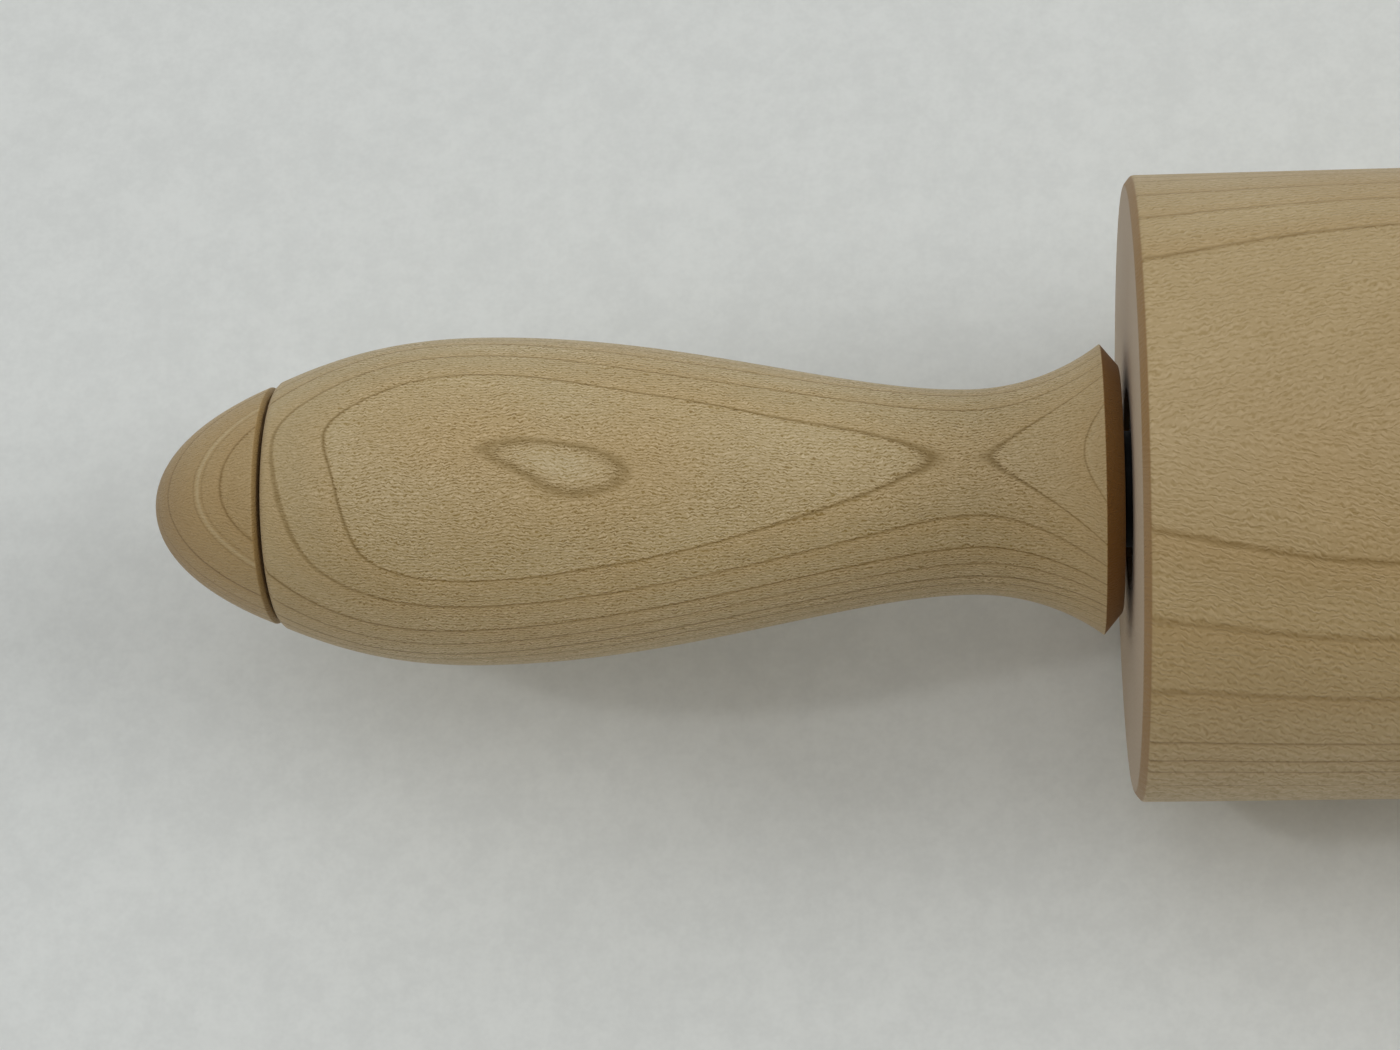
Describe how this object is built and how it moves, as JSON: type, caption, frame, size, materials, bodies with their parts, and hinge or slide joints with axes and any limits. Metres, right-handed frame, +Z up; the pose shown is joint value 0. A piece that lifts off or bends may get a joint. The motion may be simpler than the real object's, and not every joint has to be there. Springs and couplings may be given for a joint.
{
  "type": "rolling pin",
  "caption": "Maple rolling pin with turned handles: the barrel spins on ball bearings on a steel rod, and each handle turns freely behind a domed end cap.",
  "frame": {"origin": "under the middle of the barrel, on the table that it rests on", "axes": "+X along the rod towards the right handle, +Z up"},
  "size_m": [0.525, 0.0698, 0.0697],
  "materials": {
    "barrel_maple": "satin, sanded",
    "handle_maple": "satin, sanded",
    "cap_maple": "satin, sanded",
    "rod_steel": "ground",
    "bearing_steel": "ground",
    "ball_steel": "polished",
    "cage_nylon": "moulded",
    "seal_rubber": "matte",
    "bush_nylon": "moulded",
    "fastener_steel": "zinc plated",
    "insert_brass": "machined"
  },
  "bodies": {
    "axle": {"axle_rod": "rod_steel", "bearing_inner_ring_left": "bearing_steel", "bearing_inner_ring_right": "bearing_steel", "thrust_washer_left": "bush_nylon", "thrust_washer_right": "bush_nylon", "nut_washer_left": "fastener_steel", "nut_washer_right": "fastener_steel", "lock_nut_left": "fastener_steel", "lock_nut_right": "fastener_steel", "cap_insert_left": "insert_brass", "cap_insert_right": "insert_brass", "end_cap_left": "cap_maple", "end_cap_right": "cap_maple"},
    "barrel": {"barrel": "barrel_maple", "bearing_outer_ring_left": "bearing_steel", "bearing_outer_ring_right": "bearing_steel", "bearing_seal_outside_left": "seal_rubber", "bearing_seal_outside_right": "seal_rubber", "bearing_seal_inside_left": "seal_rubber", "bearing_seal_inside_right": "seal_rubber"},
    "handle_left": {"handle_left": "handle_maple", "handle_bush_inner_left": "bush_nylon", "handle_bush_outer_left": "bush_nylon"},
    "handle_right": {"handle_right": "handle_maple", "handle_bush_inner_right": "bush_nylon", "handle_bush_outer_right": "bush_nylon"},
    "ball_cage_left": {"bearing_cage_left": "cage_nylon", "bearing_ball_left_1": "ball_steel", "bearing_ball_left_2": "ball_steel", "bearing_ball_left_3": "ball_steel", "bearing_ball_left_4": "ball_steel", "bearing_ball_left_5": "ball_steel", "bearing_ball_left_6": "ball_steel", "bearing_ball_left_7": "ball_steel"},
    "ball_cage_right": {"bearing_cage_right": "cage_nylon", "bearing_ball_right_1": "ball_steel", "bearing_ball_right_2": "ball_steel", "bearing_ball_right_3": "ball_steel", "bearing_ball_right_4": "ball_steel", "bearing_ball_right_5": "ball_steel", "bearing_ball_right_6": "ball_steel", "bearing_ball_right_7": "ball_steel"}
  },
  "joints": [
    {"name": "barrel_spin", "type": "hinge", "parent": "axle", "child": "barrel", "pos_m": [0, 0, 0.03485], "axis": [1, 0, 0], "continuous": true},
    {"name": "handle_left_spin", "type": "hinge", "parent": "axle", "child": "handle_left", "pos_m": [-0.2, 0, 0.03485], "axis": [1, 0, 0], "continuous": true},
    {"name": "handle_right_spin", "type": "hinge", "parent": "axle", "child": "handle_right", "pos_m": [0.2, 0, 0.03485], "axis": [1, 0, 0], "continuous": true},
    {"name": "ball_cage_left_spin", "type": "hinge", "parent": "axle", "child": "ball_cage_left", "pos_m": [-0.1483, 0, 0.03485], "axis": [1, 0, 0], "continuous": true},
    {"name": "ball_cage_right_spin", "type": "hinge", "parent": "axle", "child": "ball_cage_right", "pos_m": [0.1483, 0, 0.03485], "axis": [1, 0, 0], "continuous": true}
  ],
  "couplings": [
    {"joint": "ball_cage_left_spin", "follows": "barrel_spin", "ratio": 0.6323},
    {"joint": "ball_cage_right_spin", "follows": "barrel_spin", "ratio": 0.6323}
  ]
}
